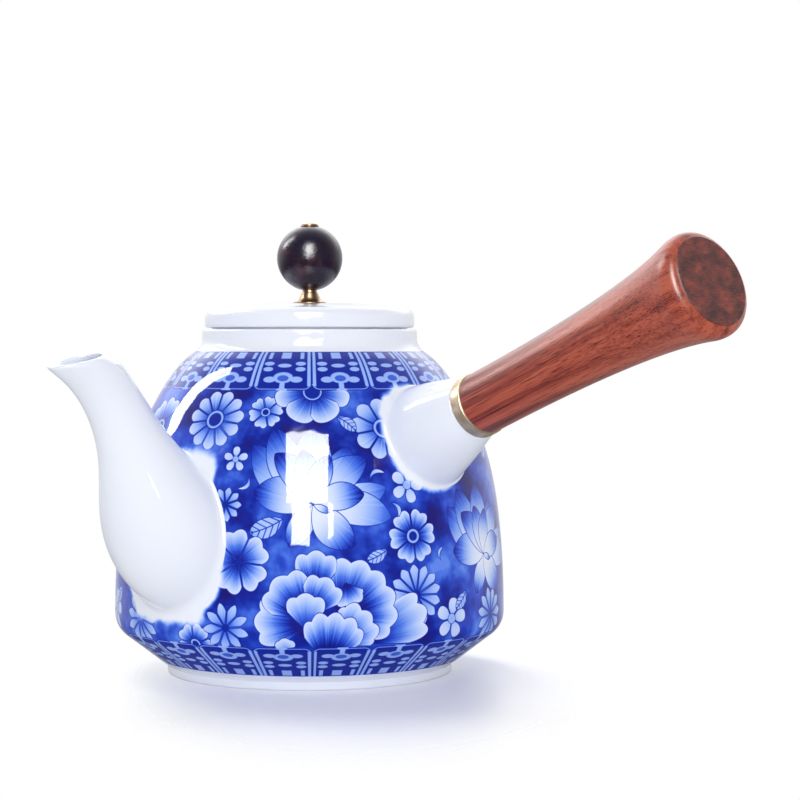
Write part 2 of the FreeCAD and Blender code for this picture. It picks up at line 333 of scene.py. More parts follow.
def lotus(place, size=1.0, turn_by=0.0):
    """Big flower of pointed petals, back ones first: pale at the base, deep blue at the tip."""
    petals = (
        (12, 17.5, 0.21, -0.05, 0.7), (-10, 18.6, 0.22, 0.05, 0.7), (58, 15.7, 0.24, -0.06, 0.95),
        (41, 16.2, 0.25, 0.06, 0.95), (135, 19.4, 0.22, 0.08, 0.95), (116, 20.0, 0.22, 0.07, 1.0),
        (90, 18.0, 0.25, 0.0, 0.9), (-120, 11.0, 0.27, 0.0, 0.95), (169, 14.0, 0.31, -0.06, 1.05),
        (126, 14.6, 0.25, -0.08, 1.15), (-47, 13.4, 0.3, -0.05, 1.05), (100, 13.0, 0.24, 0.0, 1.0),
        (72, 12.0, 0.24, 0.05, 1.0), (11, 12.0, 0.28, 0.06, 1.15), (-24, 4.4, 0.22, 0.0, 1.0))
    for angle, length, width, bend, depth in petals:
        stroke(place, angle + turn_by, length * size, 1, width, 0.72, bend=bend, wash=(0.0, depth, 0.03))


def peony(place):
    """Big ruffled flower of overlapping fans, from the back ones to the front ones."""
    fans = (
        (6.0, -9.4, 21, 20.4, 23, 0.95, 3), (3.4, -3.4, 45, 14.4, 78, 1.25, 7),
        (4.6, 4.9, 284, 6.0, 56, 0.8, 4), (-2.5, 0.6, 87, 11.8, 35, 1.2, 3),
        (-2.6, -4.2, 179, 13.8, 36, 1.0, 3), (-3.8, -3.4, 130, 12.2, 44, 1.2, 3),
        (-4.0, -3.2, 61, 10.6, 38, 1.1, 3), (-4.3, -6.2, 91, 9.0, 44, 0.6, 3),
        (1.8, -10.0, 42, 11.9, 42, 1.0, 4), (0.5, -15.0, 81, 13.5, 45, 1.15, 5),
        (-8.8, -10.6, 95, 3.2, 80, 0.25, 3))
    for right, up, angle, length, half_angle, depth, lobes in fans:
        fan(beside(place, right, up), angle, length, half_angle, depth, 0.085, lobes)


def panel(middle):
    """A third of the wall's flowers, round an azimuth: degrees from it, height, and each form's own sizes."""
    def at(turned, height):
        return middle + turned, up_wall(height)

    star(at(30.8, 22.8), 7.0, 13, 12, 0.24)
    star(at(64.0, 16.0), 6.6, 11, 5)
    blossom(at(-34.0, 11.6), 5.4, 5, 60)
    leaf(at(-6.6, 14.4), 5.0, 195)
    peony(at(4.1, 21.5))
    daisy(at(-33.6, 62.6), 7.4, 11, 8)
    blossom(at(-15.2, 64.4), 4.4, 6, 15, 0.5)
    daisy(at(24.4, 60.6), 7.6, 9, 10, 0.15, 0.3)
    blossom(at(59.0, 60.5), 8.2, 6, 15, 0.7)
    plum(at(43.5, 58.5), 3.8, 75)
    curl(at(46.5, 50.5), 3.6, 20)
    leaf(at(71.5, 52.5), 5.6, 35)
    leaf(at(9.2, 63.4), 5.6, -42)
    lotus(at(60.5, 30.5), 0.92, 4)
    lotus(at(0.9, 43.8))
    for angle, length, half in ((-14, 9.0, 22), (194, 9.0, 22), (-118, 8.6, 36), (-60, 8.6, 36)):
        fan(at(0.9, 69.0), angle, length, half, 0.75, 0.05, 1)
    stroke(at(0.9, 69.0), 0, 2.4, 1, heart=(1.0, 0.74, 0.0))
    plum(at(-23.0, 53.8), 3.0)
    curl(at(-18.4, 50.4), 4.0, 235, 0.35)
    star(at(-24.9, 43.6), 4.0, 9, 0, 0.28)
    leaf(at(-7.6, 40.6), 8.4, 203)
    curl(at(17.6, 49.0), 4.2, 25)
    curl(at(23.4, 44.0), 4.2, -60)
    plum(at(29.6, 47.8), 4.2, 70)
    blossom(at(30.3, 36.2), 6.6, 6, 5, 0.8)
    leaf(at(22.0, 33.4), 5.6, 205)
    blossom(at(-20.2, 30.8), 7.8, 5, 30, 0.66, (0.1, 1.2, 0.0))
    star(at(-23.8, 15.8), 5.8, 9, 25)
    plum(at(43.5, 16.6), 4.8, 80)
    leaf(at(50.0, 22.6), 5.6, 225)
    curl(at(40.0, 30.0), 3.4, 80)


for third in range(3):
    panel(view_azimuth + 120 * third)


def room(x, y, length, shape, edge):
    """How far a point lies inside a stroke, in millimetres: the nearer of its rim and its straight sides."""
    count, width, tip = shape
    scallop, lobes, bend = edge
    radius = np.hypot(x, y)
    angle = np.arctan2(y, x)
    half = math.pi / abs(count)
    turned = (angle + half) % (2 * half) - half
    forward = radius * np.cos(turned)
    across = radius * np.sin(turned) - 4 * bend * forward * (1 - forward)
    lobe = np.abs(np.cos(turned * abs(lobes) + (math.pi / 2 if lobes < 0 else 0)))
    reach = 1 - scallop * (1 - lobe)
    if width:
        share = np.clip(forward / reach, 0, 1)
        rim = width * share ** petal_power * (1 - share) ** tip - np.abs(across)
    else:
        rim = reach * (1 - fan_dip * (turned / half) ** 4) - radius
    sides = radius * np.sin(np.minimum(half - np.abs(turned), math.pi / 2))
    inside = np.minimum(rim, sides)
    if count < 0:
        past = np.abs(angle) - half
        inside = np.where(past > 0, -radius * np.sin(np.minimum(past, math.pi / 2)), inside)
    return length * inside


# Each face of the wall lists the strokes that show on it, lowest first. One that fills the face clears its
# list, and a list that is full drops its lowest.
coats = 8
search_margin = 1.5
filled_margin = 0.4
touch_margin = 0.5
painting = {"place": np.zeros((coats, *azimuths.shape, 3))}
painting.update({key: np.zeros((coats, len(azimuths), 3)) for key in ("shape", "edge", "wash", "heart")})
depth = np.zeros(len(azimuths), int)
for place, angle, length, shape, edge, wash, heart in strokes:
    right = np.radians((azimuths - place[0] + 180) % 360 - 180) * radii
    up = travels - place[1]
    near = np.flatnonzero(np.hypot(right, up).min(1) < length + search_margin)
    way = ray(angle)
    x = (right[near] * way[0] + up[near] * way[1]) / length
    y = (up[near] * way[0] - right[near] * way[1]) / length
    inside = np.maximum(room(x, y, length, shape, edge), (heart[0] - np.hypot(x, y)) * length)
    filled = near[inside.min(1) > filled_margin]
    depth[filled] = 0
    painting["place"][:, filled] = 0
    touched = inside.max(1) > -touch_margin
    faces = near[touched]
    full = faces[depth[faces] == coats]
    for values in painting.values():
        values[:-1, full] = values[1:, full]
    depth[full] -= 1
    slot = depth[faces]
    painting["place"][slot, faces] = np.stack([x, y, np.full(x.shape, length)], -1)[touched]
    for key, values in (("shape", shape), ("edge", edge), ("wash", wash), ("heart", heart)):
        painting[key][slot, faces] = values
    depth[faces] += 1
for key, values in painting.items():
    for number in range(coats):
        on_wall(f"{key}_{number}", "CORNER" if key == "place" else "FACE", values[number])

# The two borders: heights of the lappets' barred and rounded ends, their count, and the azimuth of the first.
# Each corner stores its place across a lappet (-1 to 1) and from the barred end (0) to the rounded end (1).
top_band = (78.2, 69.2, 16, view_azimuth + 0.7)
foot_band = (3.7, 11.7, 21, view_azimuth + 0.6)
band_start = -0.02
band_end = 1.08
lappets = np.zeros((*azimuths.shape, 3))
for barred_height, rounded_height, count, first in (top_band, foot_band):
    barred = up_wall(barred_height)
    rounded = up_wall(rounded_height)
    cell = np.floor((azimuths.mean(1, keepdims=True) - first) * count / 360)
    across = 2 * ((azimuths - first) * count / 360 - cell) - 1
    down = (travels - barred) / (rounded - barred)
    inside = ((down.max(1) > band_start) & (down.min(1) < band_end))[:, None, None]
    lappets = np.where(inside, np.stack([across, down, np.ones(down.shape)], -1), lappets)
on_wall("lappet", "CORNER", lappets)

# The spout's and the handle's places, and the patches of wall round them that are left bare: azimuth, height,
# half of the width and of the height, and how square the patch is.
spout_azimuth = 180.0
spout_sunk = 7.5
spout_root_height = 33.0
spout_root_rise = 30.0
spout_root_pull = 16.0
spout_reach = 24.8
spout_tip_height = 76.7
spout_tip_rise = 34.0
spout_tip_pull = 20.0
spout_root_radius = 16.4
spout_tip_radius = 6.0
spout_waist = 0.42
spout_taper = 0.12
spout_overrun = 60.0
handle_azimuth = 265.0
handle_rise = 21.6
handle_height = 59.0
socket_length = 17.9
bare_patches = (
    (spout_azimuth, 35.8, 12.0, 19.8, 10.0), (spout_azimuth, 28.5, 16.4, 12.0, 2.4),
    (handle_azimuth, 58.8, 11.4, 13.2, 2.2))
painted_heights = (3.0, 79.0)


def wall_radius(height):
    """Radius of the pot's wall at a height."""
    return np.interp(height, wall_rows[:, 1], wall_rows[:, 0])


def spout_way(rise):
    """Unit step away from the pot along the spout at a rise."""
    out, up = ray(rise)
    return np.array([-out, 0, up])


spout_root = np.array([spout_sunk - belly_radius, 0, spout_root_height])
spout_tip = np.array([-belly_radius - spout_reach, 0, spout_tip_height])
spout_poles = (spout_root, spout_root + spout_root_pull * spout_way(spout_root_rise),
               spout_tip - spout_tip_pull * spout_way(spout_tip_rise), spout_tip)
handle_out = np.append(ray(handle_azimuth), 0)
handle_way = handle_out * ray(handle_rise)[0] + (0, 0, ray(handle_rise)[1])
handle_root = handle_out * wall_radius(handle_height) + (0, 0, handle_height)


def reserve(azimuth, height, half_width, half_height, power):
    """Millimetres outside a rounded patch of wall, where powers of its two shares add up to 1."""
    across = np.radians((azimuths - azimuth + 180) % 360 - 180) * radii / half_width
    up = (travels - up_wall(height)) / half_height
    return half_width * ((np.abs(across) ** power + np.abs(up) ** power) ** (1 / power) - 1)


bare = np.min([reserve(*patch) for patch in bare_patches], axis=0)
painted_low, painted_high = (up_wall(height) for height in painted_heights)
painted = ((travels > painted_low) & (travels < painted_high)).all(1)
on_wall("bare", "CORNER", bare[..., None])
on_wall("painted", "FACE", painted[:, None].astype(float))

# A map for flat copies of the painting: two half-turn strips of wall, the rest of the pot in one strip below
# them, and the two closing discs along the bottom edge. A strip has a start and a height.
wall_strip = (0.2, 0.39)
wall_strip_step = 0.4
rest_strip = (0.01, 0.17)
disc_corners = (0.004, 0.002, 0.002)
pot_travel = travel(pot_outline)
rest_up = rest_strip[0] + rest_strip[1] * pot_travel[face_rows(pot_outline)] / pot_travel[-1]
flat = np.stack(np.broadcast_arrays(corner_turn, rest_up), -1).reshape(-1, 4, 2)
half = np.tile(column * 2 // pot_columns, len(wall_rows) - 1)[:, None]
wall_up = wall_strip[0] + wall_strip_step * half + wall_strip[1] * travels / wall_travel[-1]
flat[wall_faces] = np.stack([azimuths / 180 - 0.5 - half, wall_up], -1)
disc_turn = (np.tile(column, 2)[:, None] + (0, 0.5, 1)) / pot_columns
discs = np.stack(np.broadcast_arrays(disc_turn, disc_corners), -1)
flat = np.concatenate([flat.ravel(), discs.ravel()]).astype(np.float32)
pot_body.data.uv_layers.new(name="OFBake").data.foreach_set("uv", flat)

drill(pot_body, (-belly_radius - spout_hole_run, 0, spout_hole_height), (1, 0, 0), spout_hole_radius,
      belly_radius - spout_hole_run)


def feed(plug, term):
    """Leads a value or a socket into a plug, or sets a plain number on it."""
    term = getattr(term, "socket", term)
    if isinstance(term, bpy.types.NodeSocket):
        plug.id_data.links.new(term, plug)
    else:
        plug.default_value = term


def wire(node, terms):
    """Feeds a node's plugs by name."""
    for name, term in terms.items():
        feed(node.inputs[name], term)


def make(tree, kind, terms=(), **settings):
    """New shader node of a kind, with its settings and what its plugs are fed."""
    node = tree.nodes.new("ShaderNode" + kind)
    for name, setting in settings.items():
        setattr(node, name, setting)
    wire(node, dict(terms))
    return node


class Value:
    """A number over a surface; arithmetic on it adds Math nodes to its tree."""

    def __init__(self, socket):
        self.socket = socket
        self.tree = socket.id_data

    def compute(self, operation, *terms):
        """Math node on any terms, in this value's tree."""
        node = make(self.tree, "Math", operation=operation)
        for plug, term in zip(node.inputs, terms):
            feed(plug, term)
        return Value(node.outputs[0])

    def math(self, operation, *others):
        """Math node on this value and others."""
        return self.compute(operation, self, *others)

    def math_after(self, operation, other):
        """Math node on another term and then this value."""
        return self.compute(operation, other, self)

    def smooth(self, low, high):
        """0 below low, 1 above high, and an S curve between."""
        node = make(self.tree, "MapRange", {"Value": self, "From Min": low, "From Max": high},
                    interpolation_type="SMOOTHSTEP")
        return Value(node.outputs["Result"])

    def mix(self, other, share):
        """This value, moved towards another by a share."""
        return self.math_after("SUBTRACT", other).math("MULTIPLY_ADD", share, self)

    at_least = partialmethod(math, "MAXIMUM")
    at_most = partialmethod(math, "MINIMUM")
    __add__ = __radd__ = partialmethod(math, "ADD")
    __mul__ = __rmul__ = partialmethod(math, "MULTIPLY")
    __sub__ = partialmethod(math, "SUBTRACT")
    __rsub__ = partialmethod(math_after, "SUBTRACT")
    __truediv__ = partialmethod(math, "DIVIDE")
    __rtruediv__ = partialmethod(math_after, "DIVIDE")
    __pow__ = partialmethod(math, "POWER")
    __abs__ = partialmethod(math, "ABSOLUTE")


def attribute(tree, name, output="Vector"):
    """A number or vector stored on the piece."""
    return make(tree, "Attribute", attribute_name=name).outputs[output]


def own_place(tree):
    """Place on the piece, in its own coordinates."""
    return make(tree, "TexCoord").outputs["Object"]


def split(socket):
    """The three numbers of a vector."""
    return tuple(Value(plug) for plug in make(socket.id_data, "SeparateXYZ", {"Vector": socket}).outputs)


def join(*parts):
    """A vector of three numbers, of which the first is a value."""
    return make(parts[0].tree, "CombineXYZ", dict(zip("XYZ", parts))).outputs[0]


def noise(tree, scale, detail=2.0, at=None, rough=0.5):
    """Cloudy noise from 0 to 1, over the piece's own place, over a vector or along one number."""
    along = isinstance(at, Value)
    node = make(tree, "TexNoise", {"Scale": scale, "Detail": detail, "Roughness": rough},
                noise_dimensions="1D" if along else "3D")
    feed(node.inputs["W" if along else "Vector"], own_place(tree) if at is None else at)
    return Value(node.outputs["Fac"])


def paint_group(name, *plugs):
    """New node group for paint over the cobalt below: that cobalt, and each vector it is handed."""
    tree = bpy.data.node_groups.new(name, "ShaderNodeTree")
    tree.interface.new_socket("Under", in_out="INPUT", socket_type="NodeSocketFloat")
    for plug in plugs:
        tree.interface.new_socket(plug, in_out="INPUT", socket_type="NodeSocketColor")
    tree.interface.new_socket("Cobalt", in_out="OUTPUT", socket_type="NodeSocketFloat")
    given = tree.nodes.new("NodeGroupInput").outputs
    return Value(given["Under"]), *(split(given[plug]) for plug in plugs)


def group_of(cobalt):
    """The node group that ends in a value."""
    wire(cobalt.tree.nodes.new("NodeGroupOutput"), {"Cobalt": cobalt})
    return cobalt.tree


def lay(cobalt, group, stored):
    """One coat of a paint group. What it reads is made first, which keeps the shader's stack short."""
    given = {plug: attribute(cobalt.tree, name, "Color") for plug, name in stored.items()}
    return Value(make(cobalt.tree, "Group", {"Under": cobalt, **given}, node_tree=group).outputs[0])


def brush_stroke():
    """Node group that lays one coat of strokes over the cobalt below, by the same outline as room() gives.

    The cobalt runs from base to tip in fine streaks, with a thin dark line inside the rim, veins on a leaf
    and a ringed disc at the heart of a flower.
    """
    plugs = ("Place", "Shape", "Edge", "Wash", "Heart")
    under, place, shape, edge, wash, middle = paint_group("brush_stroke", *plugs)
    x, y, length = place
    count, width, tip = shape
    scallop, lobes, bend = edge
    base, end, pale = wash
    heart, ring, vein = middle

    radius = (x * x + y * y).math("SQRT")
    angle = y.math("ARCTAN2", x)
    half = math.pi / (abs(count) + 0.0001)
    turned = angle.math("WRAP", half, half * -1)
    forward = radius * turned.math("COSINE")
    across = radius * turned.math("SINE") - bend * 4 * forward * (1 - forward)
    phase = lobes.math("LESS_THAN", 0) * (math.pi / 2)
    lobe = abs((turned * abs(lobes) + phase).math("COSINE"))
    fan = width.math("LESS_THAN", 0.001)
    reach = (1 - scallop * (1 - lobe)) * (1 - (turned / half) ** 4 * fan * fan_dip)
    share = ((forward + (radius - forward) * fan) / reach).at_most(1).at_least(0)
    petal_rim = width * share ** petal_power * (1 - share) ** tip - abs(across)
    rim = petal_rim.mix(reach - radius, fan)
    sides = radius * (half - abs(turned)).at_most(math.pi / 2).math("SINE")
    inside = rim.at_most(sides) * length
    alone = 1 - count.math("LESS_THAN", 0) * abs(angle).math("GREATER_THAN", half)
    cover = inside.smooth(0.0, 0.14) * alone

    streak = noise(under.tree, 1.0, 3.0, angle * length * 1.3 + radius * 0.7 + length * 37)
    from_base = ((1 - share) * 1.5) ** 1.3 * base
    from_tip = share ** 2.6 * end
    tone = (from_base * (streak * 0.7 + 0.65) + from_tip * (streak * 0.5 + 0.75)).at_most(1.0) + pale
    midrib = 1 - (abs(across) * length).smooth(0.05, 0.2)
    rib = ((forward - abs(across) * 0.9) * 5).math("FRACT") - 0.5
    ribs = 1 - abs(rib).smooth(0.06, 0.16)
    tone = tone + midrib.at_least(ribs * 0.8) * vein * 0.6
    tone = tone.mix(0.98, (1 - inside.smooth(0.14, 0.36)) * 0.9)
    ringed = radius / (heart + 0.0001)
    disc = (1 - ringed.smooth(0.97, 1.04)) * heart.math("GREATER_THAN", 0.01)
    ring_start = ((ringed - ring) * 9 + 0.5).at_least(0).at_most(1)
    pale_ring = ring_start * (1 - ringed.smooth(0.85, 0.94))
    tone = tone.mix(0.95 - pale_ring * 0.62, disc)
    cover = cover.at_least(disc) * length.math("GREATER_THAN", 0.01)
    return group_of(under.mix(tone, cover))


def lappet_border():
    """Node group for one border: how much cobalt lies at a place in a lappet.

    Two pale bars and a line part the lappets. Each holds three bars at its open end, rows of small ovals and
    a three-lobed cloud with a blue centre on a stem, all left pale in a dark ground.
    """
    under, (across, down, there) = paint_group("lappet_border", "Lappet")
    wide = abs(across)

    def oval(centre, level, width, height):
        from_centre = (wide - centre) / width
        from_level = (down - level) / height
        return 1 - (from_centre * from_centre + from_level * from_level).smooth(0.75, 1.2)

    def bar(low, high, near, far):
        return (wide.smooth(low - 0.02, low + 0.02) * (1 - wide.smooth(high - 0.02, high + 0.02))
                * down.smooth(near - 0.012, near + 0.012) * (1 - down.smooth(far - 0.012, far + 0.012)))

    def with_shapes(pale, *shapes):
        for form, *sizes in shapes:
            pale = pale.at_least(form(*sizes))
        return pale

    parting = bar(0.845, 0.968, 0.0, 0.9)
    corner_side = (wide - 0.72).at_least(0) ** 2
    corner = (corner_side + ((down - 0.87) * 2.4).at_least(0) ** 2).math("SQRT")
    rounded = corner.smooth(0.18, 0.2) * (1 - corner.smooth(0.23, 0.25)) * down.smooth(0.87, 0.9)
    bars = (bar, -0.1, 0.2, 0.03, 0.22), (bar, 0.56, 0.72, 0.03, 0.23)
    dots = (oval, 0.6, 0.36, 0.2, 0.052), (oval, 0.0, 0.41, 0.27, 0.05), (oval, 0.6, 0.5, 0.19, 0.055)
    pale = with_shapes(parting.at_least(rounded * 0.8), *bars, *dots)
    stem = (bar, -0.1, 0.09, 0.78, 0.99), (oval, 0.0, 0.97, 0.2, 0.035)
    cloud = with_shapes(oval(0.0, 0.7, 0.36, 0.13), (oval, 0.47, 0.745, 0.22, 0.07), *stem)
    pale = pale.at_least(cloud).at_most(1)
    centre = oval(0.0, 0.715, 0.2, 0.07)
    tone = (pale * -0.64 + 0.95).mix(0.66, centre)
    ends = (there * down.smooth(-0.003, 0.003) * (1 - corner.smooth(0.275, 0.3))
            * (1 - down.smooth(0.99, 1.005)))
    return group_of(under.mix(tone, ends))


def material(name):
    """New node material: its tree, its Principled shader and itself."""
    made = bpy.data.materials.new(name)
    made.use_nodes = True
    return made.node_tree, made.node_tree.nodes["Principled BSDF"], made


def ramp(value, *stops):
    """Colour that runs through (share, red, green, blue) stops."""
    node = make(value.tree, "ValToRGB", {"Fac": value})
    elements = node.color_ramp.elements
    for element, stop in zip(elements, (stops[0], stops[-1])):
        element.position = stop[0]
        element.color = (*stop[1:], 1)
    for stop in stops[1:-1]:
        elements.new(stop[0]).color = (*stop[1:], 1)
    return node.outputs["Color"]


def ripple(shader, height, strength, distance):
    """Shallow unevenness of a surface."""
    bump = make(height.tree, "Bump", {"Strength": strength, "Distance": distance, "Height": height})
    wire(shader, {"Normal": bump.outputs["Normal"]})


def glaze(shader, colour, rough):
    """Clear porcelain glaze over a colour, with a shallow ripple."""
    wire(shader, {"Base Color": colour, "Roughness": rough, "IOR": 1.47})
    ripple(shader, noise(shader.id_data, 160.0), 0.06, 0.0006)


cobalt_shades = (
    (0.0, 0.81, 0.845, 0.935), (0.1, 0.62, 0.71, 0.95), (0.25, 0.33, 0.48, 0.92), (0.45, 0.075, 0.19, 0.78),
    (0.62, 0.022, 0.066, 0.56), (0.8, 0.007, 0.019, 0.31), (1.0, 0.014, 0.007, 0.13))
deepest_cobalt = 1.2
foot_line = (3.64 * MM, 3.78 * MM)
neck_line = (78.1 * MM, 78.22 * MM)
tree, shader, painted_porcelain = material("painted_porcelain")
clouds = noise(tree, 95.0, 3.0)
specks = noise(tree, 420.0)
cobalt = (clouds * 1.9 - 0.25 + specks * 0.28).at_least(0.5).at_most(1.15)
brush = brush_stroke()
for number in range(coats):
    cobalt = lay(cobalt, brush, {key.title(): f"{key}_{number}" for key in painting})
cobalt = lay(cobalt, lappet_border(), {"Lappet": "lappet"})
level = split(own_place(tree))[2]
edge_cloud = noise(tree, 260.0)
gap = Value(attribute(tree, "bare", "Fac")) + edge_cloud * 1.6
cobalt = cobalt * gap.smooth(0.2, 1.7) * level.smooth(*foot_line) * (1 - level.smooth(*neck_line))
cobalt = cobalt * Value(attribute(tree, "painted", "Fac"))
glaze(shader, ramp(cobalt * (1 / deepest_cobalt), *cobalt_shades), 0.035)
pot_body.data.materials.clear()
pot_body.data.materials.append(painted_porcelain)
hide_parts("pot_body")
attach(pot_body, "pot")

# Spout: a cast porcelain tube that swells where it is luted to the pot and narrows to a lip tilted forward.
# Its skin runs up the outside, over the rounded lip and down the inside, and its root is in the pot's wall.
spout_wall = 2.0
spout_blend = 1.4
wall_bite = 1.3
foot_sink = 0.04
lip_tip_round = 0.8
lip_back_round = 3.4
lip_inside = 1.7
lip_tilt = 12.0
spout_columns = 128
spout_rows = 260
spout_outer_rows = 72
spout_inner_rows = 60
lip_steps = 14
luted_steps = 13
luted_middle = 0.12
fine_shares = np.linspace(-0.3, 1.3, 480)
spout_angle = np.linspace(0, 2 * math.pi, spout_columns, endpoint=False)
lip_up = np.array([-ray(lip_tilt)[1], 0, ray(lip_tilt)[0]])


def spout_centre(share):
    """Centre line of the spout and its way: a cubic curve from wall to lip, straight on past both ends."""
    share = np.asarray(share, float)[..., None]
    here = np.clip(share, 0, 1)
    a, b, c, d = spout_poles
    way = unit(3 * (1 - here) ** 2 * (b - a) + 6 * (1 - here) * here * (c - b) + 3 * here ** 2 * (d - c))
    return cubic(spout_poles, here) + way * (share - here) * spout_overrun, way


def spout_width(share):
    """Radius along the spout: it falls from root to tip along an S curve."""
    swell = 1 / (1 + np.exp((np.minimum(share, 1) - spout_waist) / spout_taper))
    return spout_tip_radius + (spout_root_radius - spout_tip_radius) * swell


def spout_points(share, thinner):
    """Points round the spout at shares along it: centre line plus radius, less a depth from outside."""
    centre, way = spout_centre(share)
    across = np.array([0.0, 1.0, 0.0])
    spoke = np.cos(spout_angle)[:, None] * np.cross(way, across) - np.sin(spout_angle)[:, None] * across
    return centre + spoke * (spout_width(share) - thinner)[..., None]


def crossing(values, shares):
    """Share at which each column of values first rises through zero, by straight interpolation."""
    above = np.argmax(values > 0, axis=0).clip(1)
    column = np.arange(values.shape[1])
    low = values[above - 1, column]
    high = values[above, column]
    return shares[above - 1] + (shares[above] - shares[above - 1]) * (-low) / (high - low)


def spout_skin(thinner, drop):
    """Grid of the spout's skin from deep in the wall to a drop below the lip."""
    lip = crossing((spout_points(fine_shares[:, None], thinner) - spout_tip) @ lip_up + drop, fine_shares)
    return spout_points(np.linspace(fine_shares[0], lip, spout_rows), thinner)


def out_of_wall(grid, level, count):
    """Rows of a grid, evenly spaced from where each column is a level clear of the wall to its last point."""
    last = len(grid) - 1
    clear = np.hypot(grid[..., 0], grid[..., 1]) - wall_radius(grid[..., 2])
    start = crossing(clear - level, np.arange(last + 1.0))
    row = start + (last - start) * np.linspace(0, 1, count)[:, None]
    below = np.floor(row).astype(int).clip(0, last - 1)
    part = (row - below)[..., None]
    column = np.arange(grid.shape[1])
    return grid[below, column] * (1 - part) + grid[below + 1, column] * part


def onto_wall(points, lift):
    """Points moved level to a height over the wall."""
    share = (wall_radius(points[:, 2]) + lift) / np.hypot(points[:, 0], points[:, 1])
    return points * np.stack([share, share, np.ones(len(share))], -1)


def luted(grid, reach, middle, count):
    """Rows of a grid with a smooth foot: a quadratic curve that leaves along the wall and joins the grid.

    Its middle pole is where a column crosses the wall. Its first lies on the wall, as far outside that as its
    last is clear of the wall. One more row is buried in the wall.
    """
    rest = out_of_wall(grid, reach, count)
    corner = out_of_wall(grid, 0.0, 2)[0]
    outside = onto_wall(corner + reach * unit(corner - middle), 0.0)
    outside = onto_wall(corner + reach * unit(outside - corner), -foot_sink)
    share = np.linspace(0, 1, luted_steps, endpoint=False)[:, None, None]
    foot = (1 - share) ** 2 * outside + 2 * (1 - share) * share * corner + share ** 2 * rest[0]
    return np.concatenate([onto_wall(outside, -wall_bite)[None], foot, rest])


lip_outside = lip_back_round + (lip_tip_round - lip_back_round) * ((1 + np.cos(spout_angle)) / 2)
lip_round = np.sqrt(lip_outside * lip_inside)[:, None]
outer = luted(spout_skin(0.0, lip_outside), spout_blend, spout_centre(luted_middle)[0], spout_outer_rows)
inner = out_of_wall(spout_skin(spout_wall, lip_inside), -wall_bite, spout_inner_rows)
turn_over = np.linspace(0, math.pi, lip_steps + 1)[1:-1, None, None]
lip_way = spout_centre(1.0)[1]
lip_rows = ((outer[-1] + inner[-1]) / 2 + np.cos(turn_over) * (outer[-1] - inner[-1]) / 2
            + np.sin(turn_over) * lip_round * lip_way / (lip_way @ lip_up))
spout = skin("porcelain_spout", np.concatenate([outer, lip_rows, inner[::-1]]), loop=True)


def clouded(tree, scale, low, high, detail=2.0):
    """Colour that drifts from one to another in clouds."""
    return ramp(noise(tree, scale, detail), (0.3, *low), (0.7, *high))


tree, shader, white_porcelain = material("white_porcelain")
glaze(shader, clouded(tree, 45.0, (0.7954, 0.82935, 0.935), (0.82, 0.855, 0.935), 3.0), 0.08)
spout.data.materials.append(white_porcelain)
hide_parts("spout")
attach(spout, "pot")

# Strainer: a small pierced porcelain dome stuck inside the wall behind the spout. It keeps its own shape.


def coat(finish, *nodes):
    """Gives a finish to nodes that keep their own shapes."""
    for node in nodes:
        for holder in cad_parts[node].material_slots:
            holder.material = finish


coat(white_porcelain, "spout_strainer")

# Handle socket: a conical porcelain socket luted to the shoulder, with a bore for the handle's tenon.
# Its outline runs from inside the pot's wall, up the cone to the mouth and down into the bore. Its foot
# sways a little to the handle's far side.
socket_mouth = np.array([7.45, socket_length])
socket_ease = (9.0, 12.6)
socket_waist = np.array([11.0, 6.0])
socket_flare = np.array([12.4, -2.0])
socket_root_run = 6.0
socket_sway = 2.0
socket_sway_power = 1.5
socket_bore = 5.2
socket_bore_end = 3.9
socket_edge = 0.35
socket_blend = 0.9
socket_columns = 120
socket_rows = 48
flare_end = socket_flare + socket_root_run * unit(socket_flare - socket_waist)
socket_outside = np.vstack([
    [flare_end], line(flare_end, socket_flare, 24),
    bezier((socket_flare, socket_waist, socket_ease, socket_mouth - (0, socket_edge)), 90)])
socket_inside = np.vstack([
    bend(socket_mouth, socket_edge, 0, 90, 4),
    line((socket_mouth[0] - socket_edge, socket_length), (socket_bore, socket_length)),
    [[socket_bore, socket_bore_end]]])
swayed = socket_sway * np.clip(1 - socket_outside[:, 1] / socket_length, 0, 1) ** socket_sway_power
socket_side = np.append(ray(handle_azimuth + 90), 0)
socket_grid = turn(socket_outside, socket_columns, handle_root, handle_way)
socket_grid += swayed[:, None, None] * socket_side
outside_grid = luted(socket_grid, socket_blend, handle_root + socket_sway * socket_side, socket_rows)
inside_grid = turn(socket_inside, socket_columns, handle_root, handle_way)
handle_socket = skin("porcelain_socket", np.concatenate([outside_grid, inside_grid]),
                     (handle_root - wall_bite * handle_out, handle_root + socket_bore_end * handle_way))
handle_socket.data.materials.append(white_porcelain)
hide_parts("handle_socket")
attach(handle_socket, "pot")

# Ferrule: a short brass ring, turned and slipped over the grip's spigot, between socket and wood.
# Its two outer edges are eased.
ferrule_radius = 7.35
ferrule_bore = 6.45
ferrule_length = 3.0
ferrule_edge = 0.3
ferrule_top = socket_length + ferrule_length
ferrule_outline = np.vstack([
    bend((ferrule_radius, socket_length), ferrule_edge, -90, 0, 5),
    line((ferrule_radius, socket_length + ferrule_edge), (ferrule_radius, ferrule_top - ferrule_edge), 4),
    bend((ferrule_radius, ferrule_top), ferrule_edge, 0, 90, 5),
    [[ferrule_bore, ferrule_top], [ferrule_bore, socket_length],
     [ferrule_radius - ferrule_edge, socket_length]]])
ferrule = skin("brass_ferrule", turn(ferrule_outline, 96, handle_root, handle_way), loop=True)


